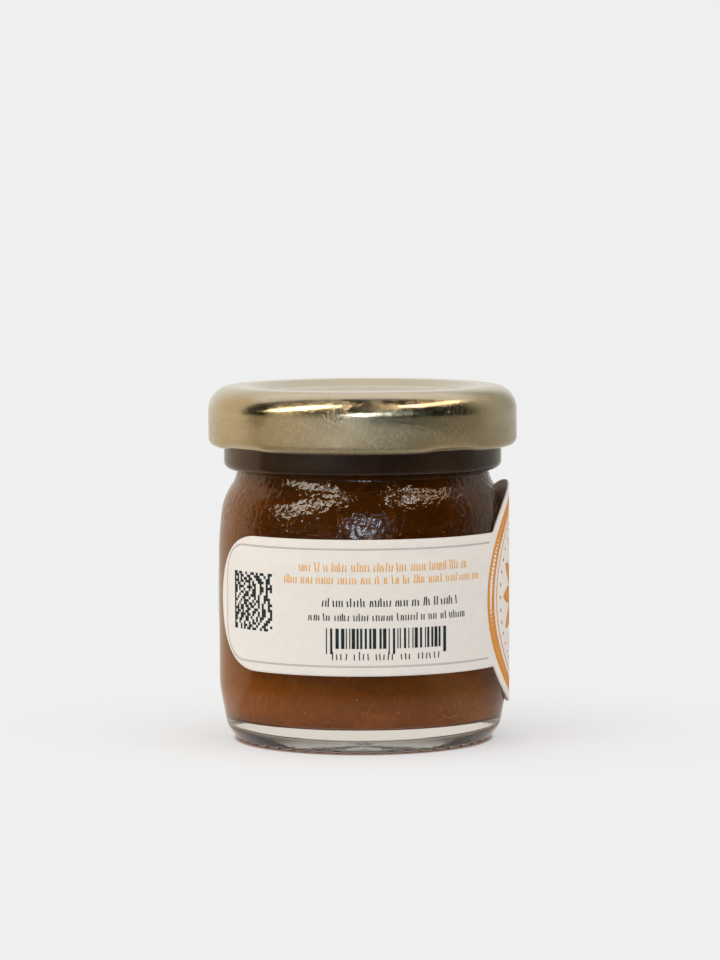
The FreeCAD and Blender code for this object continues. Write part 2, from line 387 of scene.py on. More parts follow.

# %% [markdown]
# ## Floor
# The jar stands on a seamless sheet of white paper. Close to the jar it is a real matt
# surface that keeps the soft shadow, and further out it fades into the backdrop's own
# level, so no horizon shows. What the jar mirrors of it is painted light, a glow uneven
# as on a lit table top: light beside and behind the jar, and dim in front, where the
# camera's side of the room is dark. That is two panoramas, one for the near table and
# one for the far table, half and half between them. Under the foot ring a brown painted
# shade lies in the paper and in its glow, for the light that comes down through the conserve.

# %% Colours of the floor
PAPER = "#F6F6F6"
SHADOW_SHARE = 0.52
SHADOW_REACH = (0.022, 0.07)
# Painted shade: brown in the paper under the foot ring, for light that comes through the conserve.
UNDER_FOOT_SHADE = "#7A5638"
UNDER_FOOT_SHARE = 0.85
UNDER_FOOT_FROM = (0.0120, 0.0126)
UNDER_FOOT_TO = (0.0188, 0.0198)
TABLE_FROM = (0.020, 0.024)
HALF_FAR_FROM = (0.11, 0.16)
ALL_FAR_FROM = (0.63, 0.70)
# Painted light: the glow that mirrors see on the table, by azimuth, near and far.
TABLE = [
    (-160, "#D6D2C8"), (-124, "#CDBFA6"), (-95, "#D6C7AC"), (-89, "#8C7C64"), (-60, "#8E8168"),
    (-30, "#8A8574"), (0, "#666A60"), (35, "#6C6C5E"), (65, "#B4A686"), (85, "#8E8876"),
    (105, "#96928A"), (150, "#B6B4AC"),
]
FAR_TABLE = [
    (-160, "#CFCBC0"), (-124, "#E2D3BA"), (-95, "#E2D2B8"), (-88, "#A8997C"), (-60, "#BFB194"),
    (-32, "#C4C8C4"), (-8, "#848E92"), (13, "#606A6E"), (36, "#5C6260"), (65, "#7A776C"),
    (99, "#8A8678"), (105, "#A8A59C"), (150, "#B0AEA6"),
]

# %% Floor finish
floor_material, tree = new_finish("seamless_paper")
place = add(tree, "NewGeometry", output="Position")
reach = add(tree, "VectorMath", place, operation="LENGTH", output="Value")
azimuth = azimuth_of(tree, place)
near = add(tree, "MapRange", reach, *TABLE_FROM, interpolation_type="SMOOTHSTEP")
table = add(tree, "Mix", near, plain, panorama(tree, azimuth, TABLE), data_type="RGBA")
half_far = add(tree, "MapRange", reach, *HALF_FAR_FROM, 0.0, 0.5, interpolation_type="SMOOTHSTEP")
all_far = add(tree, "MapRange", reach, *ALL_FAR_FROM, 0.0, 0.5, interpolation_type="SMOOTHSTEP")
far = add(tree, "Math", half_far, all_far, operation="ADD")
table = add(tree, "Mix", far, table, panorama(tree, azimuth, FAR_TABLE), data_type="RGBA")
table = add(tree, "Mix", add(tree, "LightPath", output="Is Glossy Ray"), plain, table, data_type="RGBA")
# Painted shade under the foot ring, in the paper's colour and in its glow.
under = add(tree, "MapRange", reach, *UNDER_FOOT_FROM, interpolation_type="SMOOTHSTEP")
clear_of = add(tree, "MapRange", reach, *UNDER_FOOT_TO, 1.0, 0.0, interpolation_type="SMOOTHSTEP")
under = add(tree, "Math", under, clear_of, operation="MULTIPLY")
under = add(tree, "Math", under, UNDER_FOOT_SHARE, operation="MULTIPLY")
table = add(tree, "Mix", under, table, colour(UNDER_FOOT_SHADE), data_type="RGBA")
paper = add(tree, "Mix", under, colour(PAPER), colour(UNDER_FOOT_SHADE), data_type="RGBA")
matt = add(tree, "BsdfDiffuse", paper)
glow = add(tree, "Emission", table)
fade = add(
    tree, "MapRange", reach, *SHADOW_REACH, 1 - SHADOW_SHARE, 1.0, interpolation_type="SMOOTHSTEP"
)
cover(tree, add(tree, "MixShader", fade, matt, glow))

# %% Floor mesh
FLOOR_RADIUS = 3.0
FLOOR_SIDES = 64
floor_mesh = bpy.data.meshes.new("floor")
corners = [
    (FLOOR_RADIUS * cos(tau * k / FLOOR_SIDES), FLOOR_RADIUS * sin(tau * k / FLOOR_SIDES), 0)
    for k in range(FLOOR_SIDES)
]
floor_mesh.from_pydata(corners, [], [tuple(range(FLOOR_SIDES))])
floor_mesh.materials.append(floor_material)
floor = bpy.data.objects.new("floor", floor_mesh)
bpy.context.scene.collection.objects.link(floor)
print(f"floor: {FLOOR_RADIUS} m in radius")

# %% [markdown]
# ## Jar glass
# Pressed and blown soda-lime glass, 2.9 mm thick, with a heavy base. It is turned from
# one closed section, outside and inside, so that light bends at both walls as it does in
# the real jar. Its overall sizes come from the frame, and its steps follow the CAD
# section. The bend of the shoulder is a millimetre higher here, and the bend and the turn
# into the neck are rounder, because the highlights on them show every tenth of one.

# %% Section of the glass
body_radius = glass_high.x / MM
rim_z = glass_high.z / MM
inner_radius = conserve_high.x / MM
fill_z = conserve_high.z / MM
bead_radius = body_radius - 0.85
finish_radius = bead_radius - 0.55
bore_radius = finish_radius - 2.6
neck_radius = bead_radius - 1.93
neck_bore_radius = neck_radius - 2.3
bend_radius = body_radius - 0.64
heel_radius = body_radius - 1.1
foot_radius = heel_radius - 1.5
foot_ring_radius = foot_radius - 1.6
neck_z = rim_z - 12.5
neck_slope_z = neck_z - 1.2
bend_z = neck_slope_z - 2.85
shoulder_z = bend_z - 6.2
heel_top_z = shoulder_z - 21.8
bead_low_z = neck_z + 0.7
bead_top_z = bead_low_z + 4.0
floor_z = 3.7
BEND_WALL = 2.9
CAVITY_CORNER = 2.5
HEEL_ROUND = 2.5
FOOT_ROUND = 1.6
thread_z = bead_top_z + 1.3
print(f"section: body {body_radius:.2f} mm, neck {neck_radius:.2f} mm, bead {bead_radius:.2f} mm in radius")

glass_outside = [
    (0, 0.9, 0),
    (foot_ring_radius - 0.45, 0.45, 0.6),
    (foot_ring_radius, 0, 0.1),
    (foot_radius, 0, FOOT_ROUND),
    (heel_radius, 2.3, HEEL_ROUND),
    (body_radius, heel_top_z, 12.0),
    (body_radius, shoulder_z, 40.0),
    (bend_radius, bend_z, 9.0),
    (neck_radius + 0.23, neck_slope_z, 4.5),
    (neck_radius, neck_z, 0.25),
    (bead_radius, bead_low_z, 1.2),
    (bead_radius, bead_top_z, 0.3),
    (finish_radius, bead_top_z + 0.18, 0.1),
    (finish_radius, rim_z, 0.9),
]


def cavity(top_z, into_wall=0.0):
    """Inside of the glass from the floor up to top_z; into_wall moves it into the wall."""
    share = (top_z - neck_slope_z) / (rim_z - neck_slope_z)
    top_radius = neck_bore_radius + share * (bore_radius - neck_bore_radius)
    return [
        (0, floor_z + 0.35 - into_wall, 0),
        (inner_radius - 0.35 + into_wall, floor_z - into_wall, CAVITY_CORNER),
        (inner_radius + into_wall, floor_z + heel_top_z, 30.0),
        (inner_radius + into_wall, shoulder_z, 20.0),
        (bend_radius - BEND_WALL + into_wall, bend_z, 5.0),
        (neck_bore_radius + into_wall, neck_slope_z, 2.0),
        (top_radius + into_wall, top_z, 0.7),
    ]


# %% [markdown]
# ### What the mould and the knurling leave
# Four thread ridges stand on the finish, 45 shallow scoops cross the foot ring, and hot
# glass against iron leaves a faint orange peel and fainter rings on the shoulder, where
# the lamps sparkle. They could be a bump in the finish, but moved points of the turned
# mesh also show in its outline. The mesh is finer on the shoulder, where that matters,
# and the scoops are a little deeper than in the CAD, so that they show through the foot.

# %% Mould marks
KNURLS = 45
KNURL_RADIUS = 1.0
KNURL_DEPTH = 0.55
THREADS = 4
THREAD_ANGLE = radians(37)
THREAD_HALF_SPAN = radians(30)
THREAD_END = radians(4)
THREAD_PROUD = 1.1
THREAD_FACE = 0.25
THREAD_CREST = 0.5
THREAD_HEIGHT = 1.2
PEEL = 0.03
PEEL_GRAIN = 1.1
RING_PITCH = 0.95
RING_DEPTH = 0.015


# %% Smooth steps and even places
def step(x, low, high):
    """Smooth step from 0 at low to 1 at high."""
    t = np.clip((x - low) / (high - low), 0, 1)
    return t * t * (3 - 2 * t)


def from_nearest(angle, first, count):
    """Signed angle to the nearest of count places, evenly spaced from first."""
    pitch = tau / count
    return (angle - first + pitch / 2) % pitch - pitch / 2


def finer(points, longest):
    """The same section with shorter steps on the outside of the shoulder and neck."""
    path = [points[0]]
    for a, b in zip(points, points[1:]):
        fine = min(a[0], b[0]) > neck_bore_radius + 1 and shoulder_z - 1 < b[1] < bead_low_z
        path.extend(subdivided([a, b], longest if fine else 9)[1:])
    return np.array(path)


# %% Scoops, threads and orange peel
def mould_marks(angle, radius, height):
    """Moves the points of the turned glass for its scoops, threads and orange peel."""
    outside = radius > finish_radius - 1.5
    across = np.abs(from_nearest(angle, 0, KNURLS)) * radius
    chord = np.sqrt(np.clip(KNURL_RADIUS**2 - across**2, 0, None))
    scoop = np.clip(chord - (KNURL_RADIUS - KNURL_DEPTH), 0, None)
    on_foot = (height < KNURL_DEPTH) & (radius > foot_ring_radius - 0.8)
    height = np.where(on_foot, np.maximum(height, scoop), height)

    along = np.abs(from_nearest(angle, THREAD_ANGLE, THREADS))
    ends = 1 - step(along, THREAD_HALF_SPAN - THREAD_END, THREAD_HALF_SPAN)
    crest = step(height, thread_z, thread_z + THREAD_FACE)
    crest = crest * (1 - step(height, thread_z + THREAD_CREST, thread_z + THREAD_HEIGHT))
    radius = radius + np.where(outside & (height > bead_top_z), THREAD_PROUD * crest * ends, 0)

    shoulder = step(height, bend_z - 5, bend_z) * (1 - step(height, bead_low_z - 0.4, bead_low_z))
    rough = np.zeros_like(radius)
    for index in np.argwhere(outside & (shoulder > 0)):
        a, r, z = (grid[tuple(index)] for grid in (angle, radius, height))
        spot = Vector((r * sin(a), -r * cos(a), z)) / PEEL_GRAIN
        rough[tuple(index)] = noise.noise(spot) + 0.5 * noise.noise(spot * 2.3)
    rings = RING_DEPTH * np.sin(tau * height / RING_PITCH) * step(height, bend_z, neck_slope_z)
    radius = radius + (PEEL * rough + rings) * shoulder
    return radius, height


# %% Glass mesh
GLASS_AROUND = 450
glass_material, glass_tree = new_finish("soda_lime_glass")
glass_section = rounded(
    glass_outside + [(bore_radius, rim_z, 0.7)] + cavity(rim_z)[:0:-1][1:] + cavity(rim_z)[:1],
    longest=0.9,
)
glass_section = finer(glass_section, 0.25)
jar = turned(
    "jar_glass_turned", glass_section, GLASS_AROUND, [glass_material], "clear_glass", mould_marks
)
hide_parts("jar_glass")

# %% [markdown]
# ### Soda-lime glass
# Clear flint glass for food: colourless, polished by its own skin, with an index of 1.52.
# Where the shoulder was blown against the mould its skin is lumpy, and the lamps break up
# into sparkles there. The finest lumps are smaller than the mesh can carry, so this skin
# is a bump. Shadow rays pass straight through, so that the lamps light the conserve as
# through real glass and no path is lost to noise.

# %% Glass finish
SHOULDER_LUMPS = 0.75
FINE_LUMPS = 0.26
LUMP_DEPTH = 0.10
spot = add(glass_tree, "TexCoord", output="Object")
lumps = add(glass_tree, "TexNoise", spot, Scale=1 / (SHOULDER_LUMPS * MM), Detail=0.0)
grit = add(glass_tree, "TexNoise", spot, Scale=1 / (FINE_LUMPS * MM), Detail=0.0)
relief = add(glass_tree, "Math", grit, 0.3, lumps, operation="MULTIPLY_ADD")
tall = add(glass_tree, "SeparateXYZ", spot, output="Z")
lumpy = add(
    glass_tree, "MapRange", tall, (shoulder_z - 1) * MM, (shoulder_z + 3) * MM, 0.04, 1.0,
    interpolation_type="SMOOTHSTEP",
)
calm = add(
    glass_tree, "MapRange", tall, (neck_z - 1.0) * MM, (neck_z + 0.8) * MM, 1.0, 0.08,
    interpolation_type="SMOOTHSTEP",
)
lumpy = add(glass_tree, "Math", lumpy, calm, operation="MULTIPLY")
relief = add(glass_tree, "Math", relief, lumpy, operation="MULTIPLY")
skin = add(glass_tree, "Bump", Strength=1.0, Distance=LUMP_DEPTH * MM, Height=relief)
clear = add(
    glass_tree, "BsdfPrincipled", Base_Color=(1, 1, 1, 1), Roughness=0.0, IOR=1.52,
    Transmission_Weight=1.0, Normal=skin,
)
shadow = add(glass_tree, "LightPath", output="Is Shadow Ray")
cover(glass_tree, add(glass_tree, "MixShader", shadow, clear, add(glass_tree, "BsdfTransparent")))
print(f"soda-lime glass: lumps of {SHOULDER_LUMPS} mm, {LUMP_DEPTH} mm deep")

# %% [markdown]
# ## Conserve
# A set fruit conserve, dark amber from long cooking, fills the jar up under the lid. It
# wets the glass all over, so its mesh reaches just into the wall and no air gap shows.

# %% Conserve mesh
INTO_WALL = 0.06
CONSERVE_AROUND = 240
conserve_material, tree = new_finish("cooked_fruit_conserve")
conserve_section = rounded(cavity(fill_z, INTO_WALL) + [(0, fill_z, 0)])
conserve = turned(
    "conserve_fill", conserve_section, CONSERVE_AROUND, [conserve_material], "fruit_conserve"
)
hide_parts("conserve")

# %% [markdown]
# ### Cooked fruit conserve
# Pulp makes it cloudy, so light enters a few millimetres and comes out browner. The way
# that light falls is painted into its colour: painted light makes it amber at the foot,
# where light gets in from below, and down its left side, and painted shade makes it dark
# brown higher up and darker still in the neck, under the lid. Sugar gives the jelly almost
# the index of glass: seen steeply it does not mirror, but at a grazing angle, as through
# the base, its face turns into a mirror. A volume would scatter light the same way, at
# many times the render's cost.

# %% Conserve finish
JELLY_TO_GLASS = 0.90
CLOUD = 5.0
PULP = 0.9
# Painted light and painted shade: amber where light gets into the conserve, dark brown where it does not.
AMBER = "#A05806"
BROWN = "#552902"
AMBER_CLOUD = "#C4701E"
BROWN_CLOUD = "#783C06"
PAINTED_SHADE_RISE = (0.008, 0.034)
PAINTED_LEFT_LIGHT = (-0.019, -0.012)
NECK_PAINTED_SHADE = (0.0385, 0.0410)
spot = add(tree, "TexCoord", output="Object")
tall = add(tree, "SeparateXYZ", spot, output="Z")
across = add(tree, "SeparateXYZ", spot, output="X")
# Painted shade: darker higher up, less so towards the left side, where painted light keeps it paler.
dark = add(tree, "MapRange", tall, *PAINTED_SHADE_RISE, interpolation_type="SMOOTHSTEP")
left_light = add(tree, "MapRange", across, *PAINTED_LEFT_LIGHT, 0.35, 1.0, interpolation_type="SMOOTHSTEP")
dark = add(tree, "Math", dark, left_light, operation="MULTIPLY")
flesh = add(tree, "Mix", dark, colour(AMBER), colour(BROWN), data_type="RGBA")
clouded = add(tree, "Mix", dark, colour(AMBER_CLOUD), colour(BROWN_CLOUD), data_type="RGBA")
clouds = add(tree, "TexNoise", spot, Scale=1 / (CLOUD * MM), Detail=3.0, Distortion=0.6)
clouds = add(tree, "MapRange", clouds, 0.5, 0.72, interpolation_type="SMOOTHSTEP")
clouds = add(tree, "Math", clouds, 0.45, operation="MULTIPLY")
flesh = add(tree, "Mix", clouds, flesh, clouded, data_type="RGBA")
pulp = add(tree, "TexNoise", spot, Scale=1 / (PULP * MM), Detail=4.0, Roughness=0.65)
pulp = add(tree, "MapRange", pulp, 0.3, 0.7, 0.82, 1.16)
# Painted shade: the conserve darkens in the neck, under the lid.
neck = add(tree, "MapRange", tall, *NECK_PAINTED_SHADE, 1.0, 0.55, interpolation_type="SMOOTHSTEP")
pulp = add(tree, "Math", pulp, neck, operation="MULTIPLY")
flesh = add(tree, "VectorMath", flesh, Scale=pulp, operation="SCALE")
jelly = add(
    tree, "BsdfPrincipled", Base_Color=flesh, Roughness=0.6, Specular_IOR_Level=0.0,
    Subsurface_Weight=0.7, Subsurface_Radius=(4.0, 1.6, 0.5), Subsurface_Scale=MM,
)
graze = add(tree, "Fresnel", IOR=JELLY_TO_GLASS)
cover(tree, add(tree, "MixShader", graze, jelly, add(tree, "BsdfGlossy", Roughness=0.02)))
print(f"cooked fruit conserve: clouds of {CLOUD} mm, pulp of {PULP} mm")

# %% [markdown]
# ### Shreds, fibres and specks
# Fruit cooks down to shreds of peel, loose fibres and specks, and those that touch the
# glass show through it. Each is a small closed spindle that follows a path on the wall
# and stands a few hundredths of a millimetre out of the jelly. They could be spots in the
# finish, but real shapes catch the light at their edges. The paths are drawn from a
# seeded generator, so that they come out the same each time.

# %% A sliver on the wall
wall = [p for p in conserve_section if p[0] > neck_bore_radius * 0.9 and p[1] > floor_z]
wall_r = [p[0] for p in wall]
wall_z = [p[1] for p in wall]


def on_wall(angle, z, proud):
    """Point on the conserve's side at an angle from the front, proud of it by some mm."""
    radius = np.interp(z, wall_z, wall_r) + proud
    return (radius * sin(angle), -radius * cos(angle), z)


def spindle(path, width, proud):
    """Closed sliver along (angle, z) points, widest and proudest at its middle."""
    vertices = []
    count = len(path)
    for k, (angle, z) in enumerate(path):
        before = path[max(k - 1, 0)]
        after = path[min(k + 1, count - 1)]
        step_a = (after[0] - before[0]) * inner_radius
        step_z = after[1] - before[1]
        length = hypot(step_a, step_z)
        full = 0.12 + 0.88 * sqrt(max(0, 1 - (2 * k / (count - 1) - 1) ** 2))
        side_a = -step_z / length * width / 2 * full / inner_radius
        side_z = step_a / length * width / 2 * full
        vertices += [
            on_wall(angle - side_a, z - side_z, -0.02),
            on_wall(angle, z, -0.08),
            on_wall(angle + side_a, z + side_z, -0.02),
            on_wall(angle, z, proud * full),
        ]
    faces = [(3, 2, 1, 0), tuple(4 * (count - 1) + i for i in range(4))]
    for k in range(count - 1):
        for i in range(4):
            j = (i + 1) % 4
            faces.append((4 * k + i, 4 * k + j, 4 * k + 4 + j, 4 * k + 4 + i))
    return vertices, faces


def joined(shapes):
    """Vertices and faces of many small shapes as one mesh."""
    vertices = []
    faces = []
    for points, own in shapes:
        faces += [tuple(v + len(vertices) for v in face) for face in own]
        vertices += points
    return vertices, faces


# %% Paths of the bits
def wander(length, bend, steps):
    """A seeded wandering path on the glass wall, in angle and height."""
    low, high = (4.9, 11.5) if random.random() < 0.45 else (30.0, neck_slope_z - 1)
    angle = random.uniform(-pi, pi)
    z = random.uniform(low, high)
    heading = random.uniform(0, tau)
    turn = random.gauss(0, bend)
    path = []
    for _ in range(steps):
        path.append((angle, z))
        heading += turn / steps + random.gauss(0, bend / 12)
        angle += cos(heading) * length / steps / inner_radius
        z = min(max(z + sin(heading) * length / steps, floor_z + 0.6), fill_z - 1)
    return path


random.seed(45)
PROUD = 0.05
fibres = [
    spindle(wander(random.uniform(1.2, 4.0), 1.6, 14), random.uniform(0.10, 0.20), PROUD)
    for _ in range(60)
]
curl_angle = radians(40.8)
curl = [
    (curl_angle + 1.75 * cos(t) / inner_radius, 6.6 + 1.5 * sin(t))
    for t in np.linspace(2.2, 7.6, 26)
]
fibres.append(spindle(curl, 0.20, PROUD))
shreds = [
    spindle(wander(random.uniform(0.9, 2.8), 1.0, 9), random.uniform(0.3, 0.75), PROUD)
    for _ in range(34)
]
specks = [
    spindle(wander(random.uniform(0.16, 0.42), 0.3, 4), random.uniform(0.12, 0.28), PROUD * 1.4)
    for _ in range(210)
]
print(f"bits: {len(fibres)} fibres, {len(shreds)} shreds, {len(specks)} specks")

# %% [markdown]
# ### Wet fruit under glass
# The fibres are pale wet pulp, the shreds candied peel, darker and more orange, and the
# specks the palest crumbs of flesh. All are matt, because the jelly round them fills
# every pore, and their grain keeps each from being one flat colour. Like the conserve,
# they carry painted shade, darker higher up.

# %% Bits on the wall
BIT_GRAIN = 0.8
BITS_PAINTED_SHADE = (0.010, 0.034)
BITS = {
    "conserve_fibres": (fibres, "fruit_fibre", "#C4803E"),
    "conserve_shreds": (shreds, "candied_peel_shred", "#B8661A"),
    "conserve_specks": (specks, "fruit_speck", "#E8A850"),
}
for name, (shapes, finish_name, code) in BITS.items():
    made, tree = new_finish(finish_name)
    spot = add(tree, "TexCoord", output="Object")
    tall = add(tree, "SeparateXYZ", spot, output="Z")
    # Painted shade: the bits darken to half higher up, as the conserve does.
    shade = add(tree, "MapRange", tall, *BITS_PAINTED_SHADE, 1.0, 0.5)
    grain = add(tree, "TexNoise", spot, Scale=1 / (BIT_GRAIN * MM), Detail=2.0)
    grain = add(tree, "MapRange", grain, 0.3, 0.7, 0.65, 1.25)
    level = add(tree, "Math", shade, grain, operation="MULTIPLY")
    tone = add(tree, "VectorMath", colour(code)[:3], Scale=level, operation="SCALE")
    cover(tree, add(tree, "BsdfPrincipled", Base_Color=tone, Roughness=0.55, Specular_IOR_Level=0.0))
    piece(name, *joined(shapes), [made], "fruit_conserve")

# %% [markdown]
# ## Lid
# A twist-off lid pressed from tinplate a quarter of a millimetre thick: a sunk panel, a
# raised ring, a deep shoulder, and a curl rolled at the foot of the skirt. Four lugs are
# pressed in from the curl, and each leaves a soft dent outside.

# %% Lid mesh
lid_radius = lid_high.x / MM
lid_top_z = lid_high.z / MM
lid_edge_z = lid_low.z / MM
SHEET = 0.25
curl_radius = bead_radius + 0.4
curl_top_z = lid_edge_z + 1.95
panel_z = lid_top_z - 1.0
recess_radius = bore_radius - 0.2
recess_foot = recess_radius - 3.2
skirt_inside = lid_radius - SHEET
LUG_HALF_SPAN = radians(12)
LUG_REACH = 0.65
DENT_DEPTH = 0.5
DENT_LIFT = 0.28

lid_section = rounded(
    [
        (0, panel_z, 0),
        (recess_foot, panel_z, 3.0),
        (recess_radius, lid_top_z, 3.0),
        (lid_radius, lid_top_z, 3.5),
        (lid_radius, lid_edge_z, 1.25),
        (curl_radius, lid_edge_z, 0.6),
        (curl_radius, curl_top_z, 0.6),
        (skirt_inside, curl_top_z, 0.1),
        (skirt_inside, rim_z, 3.25),
        (recess_radius + SHEET, rim_z, 0.25),
        (recess_foot + SHEET, panel_z - SHEET, 0.5),
        (0, panel_z - SHEET, 0),
    ],
    longest=0.4,
)[::-1]


def lug_marks(angle, radius, height):
    """Moves the points of the turned lid in at its lugs, and lifts its edge there."""
    along = np.abs(from_nearest(angle, THREAD_ANGLE, THREADS))
    pressed = 1 - step(along, LUG_HALF_SPAN - radians(7), LUG_HALF_SPAN + radians(4))
    below = np.clip((curl_top_z - height) / (curl_top_z - lid_edge_z), 0, 1)
    outer = step(radius, curl_radius + 0.6, lid_radius - 0.2)
    inner = (radius < curl_radius + 0.3) & (height < curl_top_z - 0.1) & (height > lid_edge_z + 0.9)
    moved_in = DENT_DEPTH * pressed * below**1.3 * outer
    lift = DENT_LIFT * pressed * step(below, 0.4, 1.0)
    hook = np.where(inner, LUG_REACH * pressed, 0)
    return radius - moved_in - hook, height + lift


LID_AROUND = 480
lid_material, tree = new_finish("gold_lacquered_tinplate")
lid = turned(
    "lid_pressed", lid_section, LID_AROUND, [lid_material], "gold_lacquered_tinplate", lug_marks
)
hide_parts("lid")

# %% [markdown]
# ### Gold lacquered tinplate
# Tinplate under a clear gold lacquer: a metal that tints what it mirrors, with a pale
# greenish gold. The skirt has been turned on and off, so rub marks cross it: upright
# ones on the right, slanting ones in the middle and behind, and level ones on the left,
# each family all but gone away from its own side. They are drawn at a seventh of a
# millimetre, a little coarser than real ones, so that they show. An anisotropic metal
# would blur every highlight one way; marks in the surface break it up as real rubs do.

# %% Rub marks
RUB = 0.14
RUB_DEPTH = 0.018
RUB_PATCH = 3.5
# Lean in degrees, stretch by axis, middle azimuth, half width of the family, strength.
RUBS = [
    (0, (1.0, 1.0, 0.22), 42, 60, 1.0),
    (35, (1.0, 1.0, 0.26), -12, 32, 1.5),
    (0, (0.22, 0.22, 1.0), -72, 48, 0.5),
    (-30, (1.0, 1.0, 0.2), 130, 60, 0.8),
    (20, (1.0, 1.0, 0.2), -155, 60, 0.8),
]
spot = add(tree, "TexCoord", output="Object")
tall = add(tree, "SeparateXYZ", spot, output="Z")
azimuth = azimuth_of(tree, spot)
rubs = 0.0
for lean, stretch, towards, half_width, strength in RUBS:
    angle = add(tree, "Math", tall, tan(radians(lean)) / (lid_radius * MM), operation="MULTIPLY")
    wound = add(tree, "VectorRotate", spot, Angle=angle, rotation_type="Z_AXIS")
    streak = add(tree, "VectorMath", wound, stretch, operation="MULTIPLY")
    marks = add(tree, "TexNoise", streak, Scale=1 / (RUB * MM), Detail=1.0, Roughness=0.5)
    marks = add(tree, "MapRange", marks, 0.50, 0.68, 0.0, strength)
    aside = add(tree, "Math", azimuth, towards, operation="SUBTRACT")
    aside = add(tree, "Math", aside, operation="ABSOLUTE")
    there = add(
        tree, "MapRange", aside, half_width * 0.5, half_width, 1.0, 0.1,
        interpolation_type="SMOOTHSTEP",
    )
    rubs = add(tree, "Math", marks, there, rubs, operation="MULTIPLY_ADD")
patch = add(tree, "TexNoise", spot, Scale=1 / (RUB_PATCH * MM), Detail=1.0)
patch = add(tree, "MapRange", patch, 0.40, 0.60, 0.35, 1.0)
on_side = add(
    tree, "MapRange", tall, (lid_top_z - 0.2) * MM, (lid_top_z - 1.2) * MM, 0.02, 1.0,
    interpolation_type="SMOOTHSTEP",
)
patch = add(tree, "Math", patch, on_side, operation="MULTIPLY")
rubs = add(tree, "Math", rubs, patch, operation="MULTIPLY")
rubbed = add(tree, "Bump", Strength=1.0, Distance=RUB_DEPTH * MM, Height=rubs)
print(f"rub marks: {len(RUBS)} families, {RUB} mm fine")

# %% [markdown]
# ### Where hands hold it
# Fingers have dulled the lower skirt: a rough glow takes over there from the bright
# mirror above, along an uneven edge that rises on the left and falls on the right. The
# coat over both is the lacquer, glossy where it is new and duller where it is worn.

# %% Lid finish
BROAD = 9.0
WORN_TOP = (3.2, 5.8)
RISE = 1.9
RISE_STARTS = (-42.0, -32.0)
RISE_ENDS = (-30.0, -14.0)
FALL = 1.2
FALL_STARTS = (4.0, 30.0)
broad = add(tree, "TexNoise", spot, Scale=1 / (BROAD * MM), Detail=2.0)
tone = add(tree, "MapRange", broad, 0.35, 0.65, 0.0, 1.0)
gold = add(tree, "Mix", tone, colour("#CFBE9D"), colour("#C8B896"), data_type="RGBA")
bright = add(
    tree, "BsdfPrincipled", Base_Color=gold, Metallic=1.0, Roughness=0.12, Normal=rubbed,
    Coat_Weight=1.0, Coat_Roughness=0.06,
)
worn = add(
    tree, "BsdfPrincipled", Base_Color=gold, Metallic=1.0, Roughness=0.55, Normal=rubbed,
    Coat_Weight=1.0, Coat_Roughness=0.2,
)
uneven = add(tree, "MapRange", broad, 0.3, 0.7, -0.5 * MM, 0.5 * MM)
level = add(tree, "Math", tall, uneven, operation="ADD")
rise = add(tree, "MapRange", azimuth, *RISE_STARTS, 0.0, RISE * MM, interpolation_type="SMOOTHSTEP")
rise_end = add(tree, "MapRange", azimuth, *RISE_ENDS, 1.0, 0.0, interpolation_type="SMOOTHSTEP")
rise = add(tree, "Math", rise, rise_end, operation="MULTIPLY")
level = add(tree, "Math", level, rise, operation="SUBTRACT")
fall = add(tree, "MapRange", azimuth, *FALL_STARTS, 0.0, FALL * MM, interpolation_type="SMOOTHSTEP")
level = add(tree, "Math", level, fall, operation="ADD")
worn_from, worn_to = ((lid_edge_z + up) * MM for up in WORN_TOP)
handled = add(tree, "MapRange", level, worn_from, worn_to, 0.75, 0.03, interpolation_type="SMOOTHSTEP")
lines = add(tree, "MapRange", rubs, 0.0, 1.0, 0.8, 1.35)
handled = add(tree, "Math", handled, lines, operation="MULTIPLY")
cover(tree, add(tree, "MixShader", handled, bright, worn))
print(f"gold lacquered tinplate: worn up to {lid_edge_z + WORN_TOP[0]:.1f} mm, bright above "
      f"{lid_edge_z + WORN_TOP[1]:.1f} mm")

# %% [markdown]
# ## Label
# One die-cut paper label, a strip with round ends and one large round, wrapped with its
# tips eight millimetres apart. It stays straight where the shoulder draws in, so it
# stands off the glass there. Shrinkwrap would pull it onto the shoulder, so it is a grid
# that follows the outline, bent on a cylinder.

# %% Label places
TIP_GAP = 8.2
label_radius = 21.88
label_mid = (label_low.z + label_high.z) / 2 / MM
strip_half = 9.93
round_radius = (label_high.z - label_low.z) / 2 / MM
round_angle = radians(97)
around = tau * label_radius
strip_tip = (around - TIP_GAP) / 2
print(f"label, flat: {2 * strip_tip:.1f} mm long, {2 * strip_half:.1f} and {2 * round_radius:.1f} mm tall")


def half_height(along):
    """Half the label's height at a distance along it from the round's centre."""
    along = abs(along)
    past = along - (strip_tip - strip_half)
    strip = strip_half if past <= 0 else sqrt(max(0, strip_half**2 - past**2))
    return max(strip, sqrt(max(0, round_radius**2 - along**2)))


def bent(along, up, radius):
    """Point of the label, given flat from the round's centre, on its cylinder."""
    at = along / label_radius + round_angle
    return (radius * sin(at), -radius * cos(at), label_mid + up)


def thick(name, flat, faces, inside, outside, finishes, slot_name):
    """Closed thin solid from a flat mesh in (along, up), bent between two radii."""
    count = len(flat)
    vertices = [bent(*p, outside) for p in flat] + [bent(*p, inside) for p in flat]
    edges = {}
    for face in faces:
        for a, b in zip(face, face[1:] + face[:1]):
            edges[(a, b)] = True
    sides = [(b, a, a + count, b + count) for a, b in edges if (b, a) not in edges]
    backs = [tuple(v + count for v in reversed(face)) for face in faces]
    return piece(name, vertices, faces + sides + backs, finishes, slot_name)


